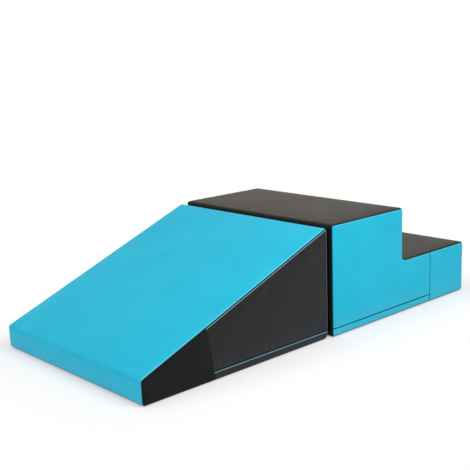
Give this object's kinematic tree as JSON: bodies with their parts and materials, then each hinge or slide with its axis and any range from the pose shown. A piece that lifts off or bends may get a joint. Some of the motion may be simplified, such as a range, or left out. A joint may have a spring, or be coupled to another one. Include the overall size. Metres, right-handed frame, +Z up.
{
  "type": "foam climbing set",
  "caption": "Soft foam climbing set for small children: a ramp wedge and a low stepped block that press together end to end, in wipe-clean covers that zip off.",
  "frame": {"origin": "on the floor, under the middle of the set with the blocks pushed together", "axes": "+X along the set from the ramp's toe to the end of the low step, +Y across it, away from the side with no zip pulls, +Z up"},
  "size_m": [1.015, 0.4913, 0.253],
  "materials": {
    "turquoise_vinyl": "satin",
    "black_vinyl": "satin",
    "anti_slip_cloth": "matte",
    "white_foam": "matte",
    "zip_tape": "matte",
    "zip_metal": "satin",
    "zip_coil": "satin",
    "loop_pile": "matte",
    "hook_tape": "matte"
  },
  "bodies": {
    "steps": {"step_base_panel": "anti_slip_cloth", "step_end_panel": "black_vinyl", "step_foam_board_1": "white_foam", "step_foam_board_2": "white_foam", "step_foam_board_3": "white_foam", "step_foam_board_4": "white_foam", "step_foam_board_5": "white_foam", "step_foam_board_6": "white_foam", "step_hook_strip_lower": "hook_tape", "step_hook_strip_upper": "hook_tape", "step_meeting_band": "black_vinyl", "step_meeting_panel": "black_vinyl", "step_riser_and_tread_panel": "black_vinyl", "step_side_band_far": "turquoise_vinyl", "step_side_band_near": "turquoise_vinyl", "step_side_end_far": "turquoise_vinyl", "step_side_end_near": "turquoise_vinyl", "step_side_main_far": "turquoise_vinyl", "step_side_main_near": "turquoise_vinyl", "step_top_panel": "black_vinyl", "step_zip_coil_lower": "zip_coil", "step_zip_coil_upper": "zip_coil", "step_zip_stop_other_end": "zip_metal", "step_zip_stop_parked_end": "zip_metal", "step_zip_tape_lower": "zip_tape", "step_zip_tape_upper": "zip_tape"},
    "wedge": {"wedge_base_panel": "anti_slip_cloth", "wedge_foam_board_1": "white_foam", "wedge_foam_board_2": "white_foam", "wedge_foam_board_3": "white_foam", "wedge_foam_board_4": "white_foam", "wedge_foam_board_5": "white_foam", "wedge_foam_board_6": "white_foam", "wedge_loop_strip_lower": "loop_pile", "wedge_loop_strip_upper": "loop_pile", "wedge_meeting_band": "black_vinyl", "wedge_meeting_panel": "black_vinyl", "wedge_ramp_panel": "turquoise_vinyl", "wedge_side_band_far": "black_vinyl", "wedge_side_band_near": "black_vinyl", "wedge_side_main_far": "black_vinyl", "wedge_side_main_near": "black_vinyl", "wedge_side_toe_far": "black_vinyl", "wedge_side_toe_near": "black_vinyl", "wedge_zip_coil_lower": "zip_coil", "wedge_zip_coil_upper": "zip_coil", "wedge_zip_stop_other_end": "zip_metal", "wedge_zip_stop_parked_end": "zip_metal", "wedge_zip_tape_lower": "zip_tape", "wedge_zip_tape_upper": "zip_tape"},
    "step_pull": {"step_zip_pull": "zip_metal"},
    "step_slider": {"step_zip_slider": "zip_metal"},
    "wedge_pull": {"wedge_zip_pull": "zip_metal"},
    "wedge_slider": {"wedge_zip_slider": "zip_metal"}
  },
  "joints": [
    {"name": "wedge_pull_apart", "type": "slide", "parent": "steps", "child": "wedge", "axis": [-1, 0, 0], "range_m": [0, 0.3]},
    {"name": "wedge_zip_run", "type": "slide", "parent": "wedge", "child": "wedge_slider", "axis": [1, 0, 0], "range_m": [0, 0.287]},
    {"name": "wedge_pull_swing", "type": "hinge", "parent": "wedge_slider", "child": "wedge_pull", "pos_m": [-0.3174, 0.2449, 0.02], "axis": [0, 0, 1], "range_deg": [0, 170]},
    {"name": "step_zip_run", "type": "slide", "parent": "steps", "child": "step_slider", "axis": [-1, 0, 0], "range_m": [0, 0.315]},
    {"name": "step_pull_swing", "type": "hinge", "parent": "step_slider", "child": "step_pull", "pos_m": [0.3484, 0.2389, 0.02], "axis": [0, 0, -1], "range_deg": [0, 170]}
  ]
}
